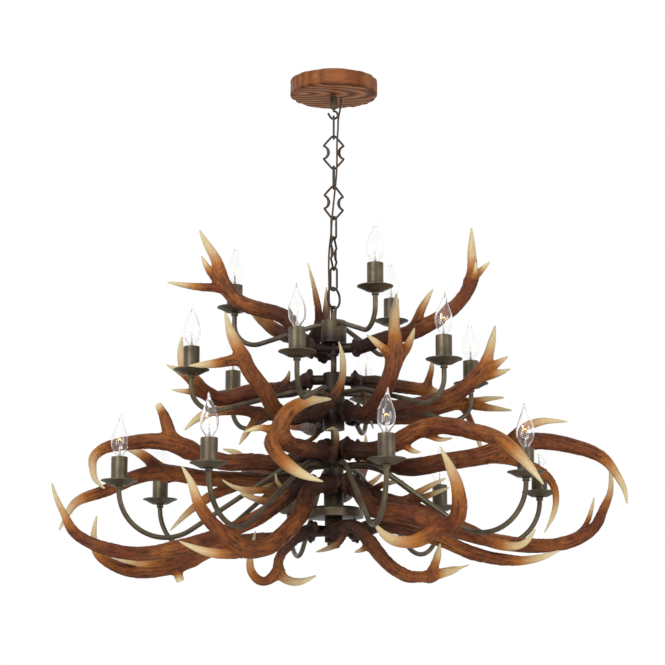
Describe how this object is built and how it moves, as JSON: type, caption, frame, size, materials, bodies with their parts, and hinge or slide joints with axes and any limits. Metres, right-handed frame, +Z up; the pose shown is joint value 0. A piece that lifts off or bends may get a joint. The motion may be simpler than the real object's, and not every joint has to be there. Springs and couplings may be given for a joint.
{
  "type": "antler chandelier",
  "caption": "Tiered chandelier of branching antlers with bent metal arms, drip pans and candle lamps, hung from a wooden ceiling rose by a chain of plain and ornate links.",
  "frame": {"origin": "middle of the bracket's and rose's face against the ceiling", "axes": "+Z up, out of the ceiling face; +X to the right and +Y away from the viewer in the pictured view"},
  "size_m": [1.1536, 0.9188, 1.0545],
  "materials": {
    "antler": "cast resin antler, brown with pale tips",
    "rose_wood": "rustic, waxed",
    "zinc_steel": "zinc plated",
    "terminal_plastic": "moulded",
    "holder_plastic": "moulded",
    "clear_glass": "clear",
    "cap_brass": "plated",
    "cord_cover": "brown twisted cord",
    "aged_bronze": "antique bronze, satin"
  },
  "bodies": {
    "ceiling_mount": {"ceiling_rose": "rose_wood", "ceiling_bracket": "zinc_steel", "terminal_block": "terminal_plastic", "rose_nipple": "aged_bronze", "hook": "aged_bronze", "supply_cord": "cord_cover"},
    "chain_link_plain_1": {"chain_link_plain_1": "aged_bronze"},
    "chain_link_ornate_1": {"chain_link_ornate_1": "aged_bronze"},
    "chain_link_plain_2": {"chain_link_plain_2": "aged_bronze"},
    "chain_link_ornate_2": {"chain_link_ornate_2": "aged_bronze"},
    "chain_link_plain_3": {"chain_link_plain_3": "aged_bronze"},
    "chain_link_ornate_3": {"chain_link_ornate_3": "aged_bronze"},
    "chain_link_plain_4": {"chain_link_plain_4": "aged_bronze"},
    "suspension_ring": {"suspension_ring": "aged_bronze"},
    "chandelier": {"antler_back": "antler", "antler_back_left": "antler", "antler_front": "antler", "antler_front_left": "antler", "antler_front_right": "antler", "antler_front_right_upper": "antler", "antler_left_inner": "antler", "antler_left_lower": "antler", "antler_left_under": "antler", "antler_left_upper": "antler", "antler_middle_back": "antler", "antler_middle_front_left": "antler", "antler_middle_front_right": "antler", "antler_middle_left": "antler", "antler_middle_low_left": "antler", "antler_middle_low_right": "antler", "antler_middle_right": "antler", "antler_middle_right_back": "antler", "antler_right_inner": "antler", "antler_right_outer": "antler", "antler_right_under": "antler", "antler_right_upper": "antler", "antler_studs": "zinc_steel", "antler_top_back": "antler", "antler_top_left": "antler", "antler_top_right": "antler", "antler_under_left": "antler", "antler_under_right": "antler", "arms_bottom": "aged_bronze", "arms_middle": "aged_bronze", "arms_top": "aged_bronze", "bottom_hub": "aged_bronze", "bottom_plate": "aged_bronze", "bulb_caps": "cap_brass", "bulb_glasses": "clear_glass", "candle_sleeves": "aged_bronze", "cap_nut": "aged_bronze", "drip_pans_bottom": "aged_bronze", "drip_pans_middle": "aged_bronze", "drip_pans_top": "aged_bronze", "lamp_holders": "holder_plastic", "middle_hub": "aged_bronze", "stem": "aged_bronze", "top_hub": "aged_bronze", "under_hub": "aged_bronze"}
  },
  "joints": [
    {"name": "chain_link_plain_1_swing", "type": "hinge", "parent": "ceiling_mount", "child": "chain_link_plain_1", "pos_m": [0, 0, -0.082], "axis": [1, 0, 0], "range_deg": [-8, 8], "deforming": ["supply_cord"]},
    {"name": "chain_link_ornate_1_swing", "type": "hinge", "parent": "chain_link_plain_1", "child": "chain_link_ornate_1", "pos_m": [0, 0, -0.1246], "axis": [0, 1, 0], "range_deg": [-8, 8]},
    {"name": "chain_link_plain_2_swing", "type": "hinge", "parent": "chain_link_ornate_1", "child": "chain_link_plain_2", "pos_m": [0, 0, -0.1892], "axis": [0.9976, 0.0698, 0], "range_deg": [-8, 8]},
    {"name": "chain_link_ornate_2_swing", "type": "hinge", "parent": "chain_link_plain_2", "child": "chain_link_ornate_2", "pos_m": [0, 0, -0.2318], "axis": [0.1045, 0.9945, 0], "range_deg": [-8, 8]},
    {"name": "chain_link_plain_3_swing", "type": "hinge", "parent": "chain_link_ornate_2", "child": "chain_link_plain_3", "pos_m": [0, 0, -0.2964], "axis": [0.9272, 0.3746, 0], "range_deg": [-8, 8]},
    {"name": "chain_link_ornate_3_swing", "type": "hinge", "parent": "chain_link_plain_3", "child": "chain_link_ornate_3", "pos_m": [0, 0, -0.339], "axis": [0.7431, -0.6691, 0], "range_deg": [-8, 8]},
    {"name": "chain_link_plain_4_swing", "type": "hinge", "parent": "chain_link_ornate_3", "child": "chain_link_plain_4", "pos_m": [0, 0, -0.4036], "axis": [0.2756, 0.9613, 0], "range_deg": [-8, 8]},
    {"name": "suspension_ring_swing", "type": "hinge", "parent": "chain_link_plain_4", "child": "suspension_ring", "pos_m": [0, 0, -0.4462], "axis": [0.9703, -0.2419, 0], "range_deg": [-8, 8]},
    {"name": "chandelier_swing", "type": "hinge", "parent": "suspension_ring", "child": "chandelier", "pos_m": [0, 0, -0.48415], "axis": [0.5736, 0.8191, 0], "range_deg": [-8, 8]}
  ]
}
